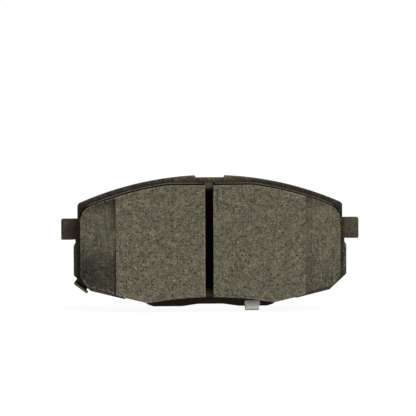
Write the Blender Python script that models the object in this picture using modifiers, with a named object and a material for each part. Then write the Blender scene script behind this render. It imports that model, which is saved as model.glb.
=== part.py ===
"""Front disc brake pad: backing plate, slotted lining, two shims and a riveted wear indicator.

Metres, +Z up. X runs along the pad, from ear to ear. The friction face looks towards -Y and the
calliper piston pushes on the rear shim from +Y. The origin is on the rear shim's back face, midway
between the ears. The disc's axis lies below the pad, so the curved edge is the upper one.
"""

import math

import bmesh
import bpy
from mathutils import Matrix, Vector

GAP = 0.0003  # between pieces that are bonded or clamped face to face

# Thickness of each layer, from the piston side to the friction face.
OUTER_SHIM_T = 0.0006
INNER_SHIM_T = 0.0008
PLATE_T = 0.0055
UNDERLAYER_T = 0.0018
LINING_T = 0.0076

# Y of each layer's back face, and of its front face.
INNER_SHIM_Y = -OUTER_SHIM_T - GAP
PLATE_Y = INNER_SHIM_Y - INNER_SHIM_T - GAP
PLATE_FRONT_Y = PLATE_Y - PLATE_T
UNDERLAYER_Y = PLATE_FRONT_Y - GAP
LINING_Y = UNDERLAYER_Y - UNDERLAYER_T - GAP
FACE_Y = LINING_Y - LINING_T

# The disc's axis, and the arcs drawn about it. The plate's own arc is a little flatter.
DISC_AXIS_Z = -0.1184
LINING_R = 0.1393
SHIM_R = 0.1385
PLATE_R = 0.144
PLATE_ARC_Z = -0.1204

# Backing plate.
SHOULDER_X = 0.0586  # side faces above the ears
SIDE_X = 0.0604  # side faces below the ears
EAR_X = 0.0658
EAR_HALF_Z = 0.0046
NOTCH_HALF_X = 0.0065
NOTCH_FLOOR_Z = 0.02255
PLATE_FOOT_Z = -0.0344
PLATE_BEVEL = 0.0003  # less than the radius of any outer corner
KEY_HOLE_R = 0.005
KEY_HOLES = ((-0.037, -0.007), (-0.017, 0.004), (0.017, 0.004), (0.037, -0.007))

# Lining.
LINING_X = 0.0573
LINING_TOP_Z = 0.01955
LINING_FLAT_X = 0.0183
LINING_WAIST_Z = -0.02954  # middle of the hollow lower edge
LINING_WAIST_R = 0.149
LINING_FOOT = (0.0275, -0.0321)
SLOT_X = -0.000645
SLOT_W = 0.0035
CHAMFER_X = 0.04165
CHAMFER_STEP = 0.0006  # small step down from the face where the chamfer starts
CHAMFER_DEPTH = 0.0045  # of the chamfer's outer end, below the face

# Shims.
SHIM_X = 0.0545
SHIM_FOOT_Z = -0.0322
WINDOW_X = 0.021
WINDOW_Z = -0.004
WINDOW_LENGTH = 0.012
WINDOW_HEIGHT = 0.005
HOOK_X = 0.0185  # middle of the hook
HOOK_W = 0.0060
HOOK_LIP_W = 0.0068
HOOK_NECK_Z = -0.0340  # the hook is narrower below this
HOOK_FOOT_Z = -0.0364
HOOK_TIP_Z = -0.03175
HOOK_BEND_R = 0.0021

# Wear indicator, placed in its own frame: origin on the plate's cut corner, U out of the
# corner, V along it.
CORNER = Vector((-0.0560, 0.0, -0.0242))
CORNER_ANGLE = math.radians(233)  # direction of U, from +X towards +Z
INDICATOR_T = 0.0009
INDICATOR_OUT = 0.0024  # outer face of the leg, beyond the cut corner
INDICATOR_LEG_W = 0.0072
INDICATOR_NECK_END = 0.0027  # V where the neck stops short of the leg
INDICATOR_TONGUE_W = 0.0052
INDICATOR_NECK_LENGTH = 0.0040
INDICATOR_TIP_Y = PLATE_FRONT_Y - 0.0032
INDICATOR_BEND_R = 0.0014
INDICATOR_BASE_R = 0.0044
RIVET_IN = 0.0062  # rivet's axis, inside the cut corner
RIVET_R = 0.0019
RIVET_HOLE_R = RIVET_R + GAP
RIVET_HEAD_R = 0.0034
RIVET_HEAD_T = 0.0010

ARC_STEP = math.radians(1.6)  # along the long arcs
FILLET_STEP = math.radians(18)
ROUND_SIDES = 40

COLOURS = {  # linear RGB, roughness, metallic
    "painted_steel": ((0.045, 0.037, 0.028), 0.62, 0.0),
    "friction_material": ((0.125, 0.112, 0.078), 0.92, 0.0),
    "underlayer_compound": ((0.060, 0.050, 0.038), 0.9, 0.0),
    "rubber_coating": ((0.020, 0.020, 0.021), 0.7, 0.0),
    "bright_steel": ((0.56, 0.57, 0.55), 0.38, 1.0),
    "spring_steel": ((0.075, 0.068, 0.058), 0.48, 0.8),
    "rivet_steel": ((0.42, 0.41, 0.39), 0.42, 1.0),
}


def clear_scene():
    for obj in list(bpy.data.objects):
        bpy.data.objects.remove(obj, do_unlink=True)


def new_collection(name):
    collection = bpy.data.collections.new(name)
    bpy.context.scene.collection.children.link(collection)
    return collection


def make_materials():
    materials = {}
    for name, (rgb, roughness, metallic) in COLOURS.items():
        material = bpy.data.materials.new(name)
        material.use_nodes = True
        shader = material.node_tree.nodes["Principled BSDF"]
        shader.inputs["Base Color"].default_value = (*rgb, 1.0)
        shader.inputs["Roughness"].default_value = roughness
        shader.inputs["Metallic"].default_value = metallic
        materials[name] = material
    return materials


# ---- outlines, as (x, z) points ----


def on_circle(radius, x, centre_z=DISC_AXIS_Z):
    """The upper point of a circle about (0, centre_z) at this x."""
    return (x, centre_z + math.sqrt(radius * radius - x * x))


def arc(radius, x_start, x_end, centre_z=DISC_AXIS_Z):
    """Points along the top of a circle, from x_start to x_end, both included."""
    a0, a1 = math.asin(x_start / radius), math.asin(x_end / radius)
    count = max(2, math.ceil(abs(a1 - a0) / ARC_STEP))
    angles = [a0 + (a1 - a0) * i / count for i in range(count + 1)]
    return [(radius * math.sin(a), centre_z + radius * math.cos(a)) for a in angles]


def rounded(corners):
    """Points of a closed outline whose corners are (x, z) or, with a fillet radius, (x, z, r)."""
    points = []
    for i, corner in enumerate(corners):
        at = Vector(corner[:2])
        radius = corner[2] if len(corner) > 2 else 0.0
        before = (Vector(corners[i - 1][:2]) - at).normalized()
        after = (Vector(corners[(i + 1) % len(corners)][:2]) - at).normalized()
        turn = before.angle(after)
        if radius == 0.0 or turn > math.radians(178):
            points.append(tuple(at))
            continue
        reach = radius / math.tan(turn / 2)
        centre = at + (before + after).normalized() * radius / math.sin(turn / 2)
        start, end = at + before * reach - centre, at + after * reach - centre
        swing = math.pi - turn
        count = max(1, math.ceil(swing / FILLET_STEP))
        sign = 1.0 if start.x * end.y - start.y * end.x > 0 else -1.0
        for k in range(count + 1):
            spoke = Matrix.Rotation(sign * swing * k / count, 2) @ start
            points.append(tuple(centre + spoke))
    return points


def mirrored(right_half):
    """A closed outline from its right half, which runs from the top centre to the bottom centre."""
    left_half = [(-corner[0], *corner[1:]) for corner in reversed(right_half)]
    return right_half + left_half


def plate_outline():
    crown = arc(PLATE_R, NOTCH_HALF_X + 0.0008, SHOULDER_X - 0.003, PLATE_ARC_Z)
    right_half = [
        (NOTCH_HALF_X - 0.0002, NOTCH_FLOOR_Z, 0.0003),
        (*on_circle(PLATE_R, NOTCH_HALF_X, PLATE_ARC_Z), 0.0004),
        *crown,
        (*on_circle(PLATE_R, SHOULDER_X, PLATE_ARC_Z), 0.0016),
        (SHOULDER_X, EAR_HALF_Z, 0.0004),
        (EAR_X, EAR_HALF_Z, 0.0007),
        (EAR_X, -EAR_HALF_Z, 0.0006),
        (0.0606, -EAR_HALF_Z, 0.0004),  # relief under the ear
        (0.0596, -EAR_HALF_Z + 0.0002, 0.0003),
        (0.0595, -0.0060, 0.0005),
        (SIDE_X, -0.0074, 0.0007),
        (SIDE_X, -0.0204, 0.0008),
        (0.0529, -0.02738, 0.0014),  # end of the cut corner
        (0.0379, -0.0311, 0.0005),
        (0.0369, -0.0302, 0.0004),  # step behind the lining
        (0.0292, -0.0321, 0.0006),
        (0.0279, -0.0335, 0.0006),
        (0.0252, PLATE_FOOT_Z, 0.0015),
        (0.0125, PLATE_FOOT_Z, 0.0040),
        (0.0055, -0.0334, 0.0060),
    ]
    return rounded(mirrored(right_half))


def lining_half_outline(edge_x):
    """Outline of the lining from an inner edge at edge_x out to +X."""
    crown = arc(LINING_R, LINING_FLAT_X, LINING_X - 0.006)
    waist_centre_z = LINING_WAIST_Z - LINING_WAIST_R
    waist = arc(LINING_WAIST_R, LINING_FOOT[0] - 0.002, edge_x, waist_centre_z)
    return rounded(
        [
            (edge_x, LINING_TOP_Z),
            *crown,
            (*on_circle(LINING_R, LINING_X), 0.0070),
            (LINING_X, -0.0209, 0.0012),
            (0.0540, -0.0250, 0.0012),
            (0.0444, -0.0272, 0.0012),
            (0.0395, -0.0293, 0.0012),
            (*LINING_FOOT, 0.0007),
            *waist,
        ]
    )


def underlayer_outline():
    """The two halves' outlines, joined across the slot."""
    half = lining_half_outline(0.001)
    return half + [(-x, z) for x, z in reversed(half)]


def shim_outline():
    crown = arc(SHIM_R, 0.001, SHIM_X - 0.008)
    right_half = [
        *crown,
        (*on_circle(SHIM_R, SHIM_X), 0.0050),
        (SHIM_X, -0.0080, 0.0040),
        (0.0405, -0.0250, 0.0040),
        (0.0270, -0.0295, 0.0030),
        (0.0240, SHIM_FOOT_Z, 0.0025),
        (0.0110, SHIM_FOOT_Z, 0.0050),
        (0.0050, SHIM_FOOT_Z + 0.0010, 0.0060),
    ]
    return rounded(mirrored(right_half))


# ---- solids ----


def weld(mesh):
    """Closes a curve's loose caps, makes each cap one face, and turns every face outwards."""
    bm = bmesh.new()
    bm.from_mesh(mesh)
    bmesh.ops.remove_doubles(bm, verts=bm.verts, dist=0.000002)
    bmesh.ops.dissolve_limit(bm, angle_limit=0.001, verts=[], edges=bm.edges)
    bmesh.ops.recalc_face_normals(bm, faces=bm.faces)
    bm.to_mesh(mesh)
    bm.free()


def mesh_object(name, mesh, material, collection):
    mesh.name = name
    mesh.materials.clear()
    if material:
        mesh.materials.append(material)
    obj = bpy.data.objects.new(name, mesh)
    collection.objects.link(obj)
    return obj


def slab(name, outline, y_a, y_b, material, collection):
    """A flat solid between two Y planes, from an outline of (x, z) points."""
    curve = bpy.data.curves.new(name, "CURVE")
    curve.dimensions = "2D"
    curve.fill_mode = "BOTH"
    curve.extrude = abs(y_b - y_a) / 2
    spline = curve.splines.new("POLY")
    spline.points.add(len(outline) - 1)
    for point, (x, z) in zip(spline.points, outline):
        point.co = (x, z, 0.0, 1.0)
    spline.use_cyclic_u = True
    guide = bpy.data.objects.new(name + "_guide", curve)
    collection.objects.link(guide)
    guide.rotation_euler = (math.pi / 2, 0.0, 0.0)
    guide.location = (0.0, (y_a + y_b) / 2, 0.0)
    bpy.context.view_layer.update()
    mesh = bpy.data.meshes.new_from_object(guide.evaluated_get(bpy.context.evaluated_depsgraph_get()))
    placed = guide.matrix_world.copy()
    bpy.data.objects.remove(guide, do_unlink=True)
    weld(mesh)
    obj = mesh_object(name, mesh, material, collection)
    obj.matrix_world = placed
    return obj


def cylinder(name, radius, x, z, y_a, y_b, material, collection, end_radius=None):
    """A round bar along Y, or a cone where its y_b end has another radius."""
    bm = bmesh.new()
    bmesh.ops.create_cone(
        bm,
        cap_ends=True,
        segments=ROUND_SIDES,
        radius1=radius,
        radius2=radius if end_radius is None else end_radius,
        depth=abs(y_b - y_a),
        matrix=Matrix.Rotation(math.copysign(math.pi / 2, y_a - y_b), 4, "X"),
    )
    bmesh.ops.translate(bm, vec=(x, (y_a + y_b) / 2, z), verts=bm.verts)
    mesh = bpy.data.meshes.new(name)
    bm.to_mesh(mesh)
    bm.free()
    return mesh_object(name, mesh, material, collection)


def box(name, low, high, matrix, collection):
    """A box between two corners, then placed by a matrix."""
    bm = bmesh.new()
    bmesh.ops.create_cube(bm, size=1.0)
    size = Vector(high) - Vector(low)
    middle = (Vector(high) + Vector(low)) / 2
    bmesh.ops.scale(bm, vec=size, verts=bm.verts)
    bmesh.ops.translate(bm, vec=middle, verts=bm.verts)
    bmesh.ops.transform(bm, matrix=matrix, verts=bm.verts)
    mesh = bpy.data.meshes.new(name)
    bm.to_mesh(mesh)
    bm.free()
    return mesh_object(name, mesh, None, collection)


def combine(obj, other, operation):
    """Adds a Boolean modifier, and hides its cutter."""
    modifier = obj.modifiers.new(other.name, "BOOLEAN")
    modifier.operation = operation
    modifier.solver = "EXACT"
    modifier.object = other
    other.hide_render = True
    other.display_type = "WIRE"


def corner_point(u, v):
    """World (x, z) of a place in the wear indicator's own frame."""
    c, s = math.cos(CORNER_ANGLE), math.sin(CORNER_ANGLE)
    return (CORNER.x + u * c - v * s, CORNER.z + u * s + v * c)


def corner_matrix():
    """Takes U to the way out of the cut corner, Y to Y, and the third axis along the corner."""
    c, s = math.cos(CORNER_ANGLE), math.sin(CORNER_ANGLE)
    return Matrix(((c, 0, -s, CORNER.x), (0, 1, 0, 0), (s, 0, c, CORNER.z), (0, 0, 0, 1)))


# ---- sub-parts ----


def make_backing_plate(material, parts, cutters):
    plate = slab("backing_plate", plate_outline(), PLATE_FRONT_Y, PLATE_Y, material, parts)
    bevel = plate.modifiers.new("stamped_edge", "BEVEL")
    bevel.width = PLATE_BEVEL
    bevel.segments = 2
    bevel.limit_method = "ANGLE"
    bevel.angle_limit = math.radians(60)
    for i, (x, z) in enumerate(KEY_HOLES):
        hole = cylinder(
            f"key_hole_{i}", KEY_HOLE_R, x, z, PLATE_FRONT_Y - 0.001, PLATE_Y + 0.001, None, cutters
        )
        combine(plate, hole, "DIFFERENCE")
    x, z = corner_point(-RIVET_IN, 0.0)
    hole = cylinder("rivet_hole", RIVET_HOLE_R, x, z, PLATE_FRONT_Y - 0.001, PLATE_Y + 0.001, None, cutters)
    combine(plate, hole, "DIFFERENCE")
    return plate


def make_underlayer(material, parts, cutters):
    layer = slab(
        "underlayer", underlayer_outline(), UNDERLAYER_Y - UNDERLAYER_T, UNDERLAYER_Y, material, parts
    )
    for i, (x, z) in enumerate(KEY_HOLES):
        plug = cylinder(
            f"key_plug_{i}", KEY_HOLE_R - GAP, x, z, UNDERLAYER_Y - UNDERLAYER_T / 2, PLATE_Y, None, cutters
        )
        combine(layer, plug, "UNION")
    return layer


def make_friction_block(side, material, parts, cutters):
    """side is 1 for the right block and -1 for the left one."""
    name = "friction_block_right" if side > 0 else "friction_block_left"
    edge_x = side * SLOT_X + SLOT_W / 2
    outline = [(side * x, z) for x, z in lining_half_outline(edge_x)]
    block = slab(name, outline, FACE_Y, LINING_Y, material, parts)
    slope = math.atan2(CHAMFER_DEPTH - CHAMFER_STEP, LINING_X - CHAMFER_X)
    foot = Matrix.Translation((side * CHAMFER_X, FACE_Y + CHAMFER_STEP, 0.0))
    x_low, x_high = (0.0, 0.03) if side > 0 else (-0.03, 0.0)
    step = box(name + "_step", (x_low, -0.002, -0.04), (x_high, 0.0, 0.03), foot, cutters)
    combine(block, step, "DIFFERENCE")
    turn = foot @ Matrix.Rotation(side * slope, 4, "Z")
    wedge = box(name + "_chamfer", (x_low, -0.012, -0.04), (x_high, 0.0, 0.03), turn, cutters)
    combine(block, wedge, "DIFFERENCE")
    return block


def make_inner_shim(material, parts):
    y_back = INNER_SHIM_Y
    return slab("inner_shim", shim_outline(), y_back - INNER_SHIM_T, y_back, material, parts)


def hook_outline():
    """The hook's section as (y, z): down from the shim, under the plate and up its front."""
    t = OUTER_SHIM_T
    front_y = PLATE_FRONT_Y - GAP
    inner_foot_z = HOOK_FOOT_Z + t
    outer_r, inner_r = HOOK_BEND_R, HOOK_BEND_R - t
    return rounded(
        [
            (0.0, SHIM_FOOT_Z + 0.002),
            (0.0, HOOK_FOOT_Z, outer_r),
            (front_y - t, HOOK_FOOT_Z, outer_r),
            (front_y - t, HOOK_TIP_Z, 0.0001),
            (front_y, HOOK_TIP_Z, 0.0001),
            (front_y, inner_foot_z, inner_r),
            (-t, inner_foot_z, inner_r),
            (-t, SHIM_FOOT_Z + 0.002),
        ]
    )


def make_hook(cutters):
    """The hook as a bent strip, cut to a wider lip in front and a narrower neck under the plate."""
    strip = slab("shim_hook", hook_outline(), -HOOK_LIP_W / 2, HOOK_LIP_W / 2, None, cutters)
    quarter = Matrix.Rotation(math.radians(90), 4, "Z")
    strip.matrix_world = Matrix.Translation((HOOK_X, 0.0, 0.0)) @ quarter @ strip.matrix_world
    for sign, word in ((-1, "left"), (1, "right")):
        low, high = sorted((HOOK_X + sign * HOOK_W / 2, HOOK_X + sign * HOOK_W))
        side = box(
            f"hook_side_{word}",
            (low, PLATE_FRONT_Y - 0.002, HOOK_FOOT_Z - 0.001),
            (high, 0.001, HOOK_NECK_Z),
            Matrix.Identity(4),
            cutters,
        )
        combine(strip, side, "DIFFERENCE")
    return strip


def make_outer_shim(material, parts, cutters):
    shim = slab("outer_shim", shim_outline(), -OUTER_SHIM_T, 0.0, material, parts)
    combine(shim, make_hook(cutters), "UNION")
    for side, word in ((-1, "left"), (1, "right")):
        corners = [
            (side * WINDOW_X + sx * WINDOW_LENGTH / 2, WINDOW_Z + sz * WINDOW_HEIGHT / 2, WINDOW_HEIGHT / 2.01)
            for sx, sz in ((-1, -1), (1, -1), (1, 1), (-1, 1))
        ]
        window = slab(
            f"shim_window_{word}", rounded(corners), -OUTER_SHIM_T - 0.0002, 0.0002, None, cutters
        )
        combine(shim, window, "DIFFERENCE")
    return shim


def make_wear_indicator(material, parts, cutters):
    back_y = PLATE_Y + GAP + INDICATOR_T
    t = INDICATOR_T
    outer = INDICATOR_OUT
    # Section (u, y): from the plate's back out past the corner, then forward along its edge.
    section = rounded(
        [
            (-0.0015, back_y),
            (outer, back_y, INDICATOR_BEND_R),
            (outer, INDICATOR_TIP_Y, 0.0002),
            (outer - t, INDICATOR_TIP_Y, 0.0002),
            (outer - t, back_y - t, INDICATOR_BEND_R - t),
            (-0.0015, back_y - t),
        ]
    )
    leg = slab("wear_indicator", section, -INDICATOR_LEG_W / 2, INDICATOR_LEG_W / 2, material, parts)
    # The slab's section is in its local XY plane, which becomes the indicator's U and Y.
    leg.matrix_world = corner_matrix()
    notch = box(
        "indicator_notch",
        (-0.004, back_y - INDICATOR_NECK_LENGTH, INDICATOR_NECK_END),
        (outer + 0.002, back_y + 0.002, 0.01),
        corner_matrix(),
        cutters,
    )
    combine(leg, notch, "DIFFERENCE")
    base = make_indicator_base(back_y, cutters)
    combine(leg, base, "UNION")
    x, z = corner_point(-RIVET_IN, 0.0)
    hole = cylinder("indicator_hole", RIVET_HOLE_R, x, z, back_y - 0.002, back_y + 0.001, None, cutters)
    combine(leg, hole, "DIFFERENCE")
    return leg


def make_indicator_base(back_y, cutters):
    """The flat tongue on the plate's back, round about the rivet."""
    half = INDICATOR_TONGUE_W / 2
    turn = math.asin(half / INDICATOR_BASE_R)
    sweep = 2 * math.pi - 2 * turn
    count = ROUND_SIDES
    tongue = [(0.0, -half), (0.0, half)]
    for i in range(count + 1):
        angle = turn + sweep * i / count
        tongue.append(
            (
                -RIVET_IN + INDICATOR_BASE_R * math.cos(angle),
                INDICATOR_BASE_R * math.sin(angle),
            )
        )
    outline = [corner_point(u, v) for u, v in tongue]
    return slab("indicator_base", outline, back_y - INDICATOR_T, back_y, None, cutters)


def make_rivet(material, parts, cutters):
    back_y = PLATE_Y + GAP + INDICATOR_T
    x, z = corner_point(-RIVET_IN, 0.0)
    name = "wear_indicator_rivet"
    shank = cylinder(name, RIVET_R, x, z, PLATE_FRONT_Y + 0.0002, back_y + GAP + 0.0003, material, parts)
    head = cylinder(
        "rivet_head",
        RIVET_HEAD_R,
        x,
        z,
        back_y + GAP,
        back_y + GAP + RIVET_HEAD_T,
        None,
        cutters,
        end_radius=RIVET_HEAD_R * 0.6,
    )
    combine(shank, head, "UNION")
    return shank


def main():
    clear_scene()
    parts, cutters = new_collection("brake_pad"), new_collection("cutters")
    materials = make_materials()
    make_backing_plate(materials["painted_steel"], parts, cutters)
    make_underlayer(materials["underlayer_compound"], parts, cutters)
    for side in (-1, 1):
        make_friction_block(side, materials["friction_material"], parts, cutters)
    make_inner_shim(materials["rubber_coating"], parts)
    make_outer_shim(materials["bright_steel"], parts, cutters)
    make_wear_indicator(materials["spring_steel"], parts, cutters)
    make_rivet(materials["rivet_steel"], parts, cutters)


main()
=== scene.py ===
"""The looks of a front disc brake pad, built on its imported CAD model. Metres, +Z up, friction face to -Y."""

import math
import random

import bmesh
import bpy
import numpy as np
from mathutils import Matrix, Vector, kdtree, noise
from mathutils.geometry import delaunay_2d_cdt


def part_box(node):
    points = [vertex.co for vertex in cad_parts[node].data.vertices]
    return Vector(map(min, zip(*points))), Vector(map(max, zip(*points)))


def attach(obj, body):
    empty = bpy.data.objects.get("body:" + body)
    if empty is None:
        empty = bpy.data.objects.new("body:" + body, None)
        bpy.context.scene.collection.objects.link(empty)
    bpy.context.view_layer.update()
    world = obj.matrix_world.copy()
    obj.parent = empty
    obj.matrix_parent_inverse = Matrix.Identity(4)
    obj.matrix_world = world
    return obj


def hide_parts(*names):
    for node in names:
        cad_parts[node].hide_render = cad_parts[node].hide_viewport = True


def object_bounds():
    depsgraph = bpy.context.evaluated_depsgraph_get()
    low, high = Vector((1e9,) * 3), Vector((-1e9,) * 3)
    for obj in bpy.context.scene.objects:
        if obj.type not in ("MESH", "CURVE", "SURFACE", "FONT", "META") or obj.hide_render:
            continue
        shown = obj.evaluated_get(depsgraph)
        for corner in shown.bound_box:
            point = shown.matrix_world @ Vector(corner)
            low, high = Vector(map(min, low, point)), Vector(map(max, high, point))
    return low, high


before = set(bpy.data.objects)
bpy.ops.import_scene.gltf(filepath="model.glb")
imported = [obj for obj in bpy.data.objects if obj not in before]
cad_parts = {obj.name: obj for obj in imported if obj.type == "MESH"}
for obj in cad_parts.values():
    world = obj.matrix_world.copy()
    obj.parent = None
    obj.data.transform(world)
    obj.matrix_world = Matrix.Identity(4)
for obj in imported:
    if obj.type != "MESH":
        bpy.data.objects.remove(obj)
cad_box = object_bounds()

MM = 0.001
SNAP = 0.00001  # CAD corners nearer than this are one point

# Camera.
CAM_DISTANCE = 1.1
CAM_SPAN = 0.1838  # width of the view at the plate's front face
CAM_SENSOR = 36.0  # millimetres
CAM_TARGET_XZ = (-0.00089, 0.00911)
CAM_ELEVATION = math.radians(3.0)
CAM_AZIMUTH = math.radians(-1.7)
CAM_ROLL = math.radians(0.27)

# Light.
AMBIENT = 0.22  # even light from all round
FLOOR_GLOW = 0.93  # how bright the camera sees the floor, besides the light that falls on it
FLOOR_BOUNCE = 0.60  # what the floor sends to the object

# Y of each layer's faces, and the small pieces' boxes, from the frame.
PLATE_FRONT_Y, PLATE_REAR_Y = (corner.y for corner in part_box("backing_plate"))
FACE_Y, LINING_REAR_Y = (corner.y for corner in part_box("friction_block_right"))
RUBBER_REAR_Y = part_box("inner_shim")[1].y
SHIM_LOW, SHIM_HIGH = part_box("outer_shim")
STRIP_LOW, STRIP_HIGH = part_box("wear_indicator")
RIVET_LOW, RIVET_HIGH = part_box("wear_indicator_rivet")
CLOSE = 0.02 * MM  # what is left of the CAD's gap between bonded pieces

# Friction lining.
LINING_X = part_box("friction_block_right")[1].x
LINING_TOP_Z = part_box("friction_block_right")[1].z
LINING_ARC_R = 139.3 * MM  # of its top edge, beyond the flat middle
DISC_AXIS_Z = -118.4 * MM
SLOT_X = (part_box("friction_block_left")[1].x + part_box("friction_block_right")[0].x) / 2
CHAMFER_X = 41.65 * MM
CHAMFER_STEP = 0.6 * MM
STEP_START, STEP_END = CHAMFER_X - 0.04 * MM, CHAMFER_X + 0.03 * MM  # the small step's steep wall
CHAMFER_DEPTH = 4.5 * MM
CHAMFER_SLOPE = (CHAMFER_DEPTH - CHAMFER_STEP) / (LINING_X - CHAMFER_X)
SPLIT_Z = -10 * MM  # between the upper and lower edges of lining and shim
GRID = 0.24 * MM  # between the points of the ground face
WALL_ROWS = 14  # of faces on a block's side walls
PITS = 1500  # on each block

# Shim with its hook. Its flat pattern is (x, b), and b is also Z above the hook's first bend.
SHIM_T = 0.6 * MM
SHIM_MIDDLE_Y = SHIM_HIGH.y - SHIM_T / 2
HOOK_X = 18.5 * MM
HOOK_NECK_HALF = 3.0 * MM
HOOK_LIP_HALF = 3.4 * MM
HOOK_BEND_R = 1.8 * MM  # to the middle of the sheet
HOOK_TIP_Z = -31.75 * MM
HOOK_FRONT_Y = SHIM_LOW.y + SHIM_T / 2  # middle of the sheet before the plate
HOOK_FOOT_Z = SHIM_LOW.z + SHIM_T / 2
HOOK_LINE = HOOK_FOOT_Z + HOOK_BEND_R  # where both bends meet the upright parts
HOOK_ARC = HOOK_BEND_R * math.pi / 2  # length of a bend
HOOK_RUN = SHIM_MIDDLE_Y - HOOK_FRONT_Y - 2 * HOOK_BEND_R  # straight stretch under the plate
WINDOW_HALF = Vector((6.0, 2.5)) * MM
WINDOW_X = 21 * MM
WINDOW_Z = -4 * MM
GROOVE_HALF = Vector((12.5, 9.0)) * MM  # of the groove pressed round each window
GROOVE_CORNER = 4.0 * MM
GROOVE_REACH = 1.1 * MM  # from the groove's middle to its edge
GROOVE_DEPTH = 0.22 * MM

# Wear indicator, in its own frame: U out of the plate's cut corner, V along it. Its flat pattern
# is (s, v), and s is also U before the bend.
CORNER = Vector((-56.0, -24.2)) * MM
CORNER_ANGLE = math.radians(233)
STRIP_T = 0.9 * MM
STRIP_MIDDLE_Y = STRIP_HIGH.y - STRIP_T / 2
STRIP_BEND_R = 0.95 * MM  # to the middle of the strip
STRIP_OUT = 2.4 * MM  # outer face of the leg, beyond the cut corner
STRIP_LINE = STRIP_OUT - STRIP_T / 2 - STRIP_BEND_R  # where the bend starts
STRIP_ARC = STRIP_BEND_R * math.pi / 2  # length of the bend
STRIP_HALF = 3.6 * MM
STRIP_NECK_END = 2.7 * MM
STRIP_NECK_LENGTH = 4.0 * MM
TONGUE_HALF = 2.6 * MM
TONGUE_R = 4.4 * MM
RIVET_IN = 6.2 * MM
RIVET_R = 1.9 * MM


# ---- outlines and meshes ----


def smooth_step(low, high, value):
    """0 below low, 1 above high, and a soft ramp between; low may be the larger one."""
    t = np.clip((value - low) / (high - low), 0.0, 1.0)
    return t * t * (3 - 2 * t)


def wall_outline(node, y):
    """The outline, as (x, z) points, where a CAD node's side wall ends in the plane at this Y."""
    bm = bmesh.new()
    bm.from_mesh(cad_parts[node].data)
    bmesh.ops.remove_doubles(bm, verts=bm.verts, dist=SNAP)
    bm.normal_update()
    links = {}
    for edge in bm.edges:
        tilts = [abs(face.normal.y) for face in edge.link_faces]
        flat = all(abs(vert.co.y - y) < SNAP for vert in edge.verts)
        if flat and len(tilts) == 2 and min(tilts) < 0.02 and max(tilts) > 0.1:
            for a, b in (edge.verts, reversed(edge.verts)):
                links.setdefault(a, []).append(b)
    loops = []
    while links:
        start = next(iter(links))
        loop, vert = [], start
        while vert in links:
            loop.append((vert.co.x, vert.co.z))
            onward = [v for v in links.pop(vert) if v in links]
            vert = onward[0] if onward else start
        loops.append(np.array(loop))
    bm.free()
    outline = max(loops, key=lambda points: np.ptp(points[:, 0]))
    following = np.roll(outline, -1, axis=0)
    area = np.sum(outline[:, 0] * following[:, 1] - outline[:, 1] * following[:, 0])
    return outline if area > 0 else outline[::-1]


def resampled(outline, step):
    """The same outline with no two points further apart than step."""
    points = []
    for a, b in zip(outline, np.roll(outline, -1, axis=0)):
        count = max(1, math.ceil(np.linalg.norm(b - a) / step))
        points += [a + (b - a) * i / count for i in range(count)]
    return np.array(points)


def inset(outline, depth):
    """An anticlockwise outline moved inwards; depth is one number or one for each point."""
    before = outline - np.roll(outline, 1, axis=0)
    after = np.roll(outline, -1, axis=0) - outline
    before = before / np.linalg.norm(before, axis=1)[:, None]
    after = after / np.linalg.norm(after, axis=1)[:, None]
    middle = before + after
    middle = middle / np.linalg.norm(middle, axis=1)[:, None]
    inwards = np.stack((-middle[:, 1], middle[:, 0]), axis=1)
    stretch = 1.0 / np.clip(np.sum(before * middle, axis=1), 0.6, 1.0)
    return outline + inwards * (depth * stretch)[:, None]


def roughness_along(outline, size, amount, seed):
    """A smooth random number for each point of an outline, between -amount and amount."""
    return np.array([noise.noise((x / size, seed, z / size)) for x, z in outline]) * amount


def in_scene(name, data):
    """A new object in the scene."""
    thing = bpy.data.objects.new(name, data)
    bpy.context.scene.collection.objects.link(thing)
    return thing


def finish_piece(mesh, name, node, material, crease=35):
    """Makes the mesh a piece that rides on the pad and stands for a CAD node.

    Edges that bend by more than crease, in degrees, stay sharp.
    """
    mesh.materials.append(material)
    mesh.shade_smooth()
    mesh.set_sharp_from_angle(angle=math.radians(crease))
    piece = in_scene(name, mesh)
    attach(piece, "root")
    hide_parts(node)
    return piece


def edge_profile_mesh(name, outline, profile, wobble):
    """A flat solid whose edge follows (inset in millimetres, y) pairs from its front to its rear face.

    wobble is a further inset for each point of the outline, in metres.
    """
    bm = bmesh.new()
    rings = []
    for depth, y in profile:
        rings.append([bm.verts.new((x, y, z)) for x, z in inset(outline, depth * MM + wobble)])
    count = len(outline)
    for ring_a, ring_b in zip(rings, rings[1:]):
        for i in range(count):
            j = (i + 1) % count
            bm.faces.new((ring_a[i], ring_a[j], ring_b[j], ring_b[i]))
    for ring in (rings[0], rings[-1]):
        edges = [bm.edges.get((ring[i], ring[(i + 1) % count])) for i in range(count)]
        bmesh.ops.triangle_fill(bm, use_beauty=True, edges=edges)
    return mesh_from(bm, name)


def mesh_from(bm, name):
    """Turns a finished bmesh into a mesh, its faces all turned the same way, outwards on a closed one."""
    bmesh.ops.recalc_face_normals(bm, faces=bm.faces)
    mesh = bpy.data.meshes.new(name)
    bm.to_mesh(mesh)
    bm.free()
    return mesh


def search_tree(points):
    """A tree that finds the nearest of some flat points."""
    tree = kdtree.KDTree(len(points))
    for i, (a, b) in enumerate(points):
        tree.insert((a, b, 0.0), i)
    tree.balance()
    return tree


def inside(point, outline):
    """Whether a point is within an outline."""
    x, z = point
    a, b = outline, np.roll(outline, -1, axis=0)
    crosses = (a[:, 1] > z) != (b[:, 1] > z)
    a, b = a[crosses], b[crosses]
    return np.sum(x < a[:, 0] + (z - a[:, 1]) * (b[:, 0] - a[:, 0]) / (b[:, 1] - a[:, 1])) % 2 == 1


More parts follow.
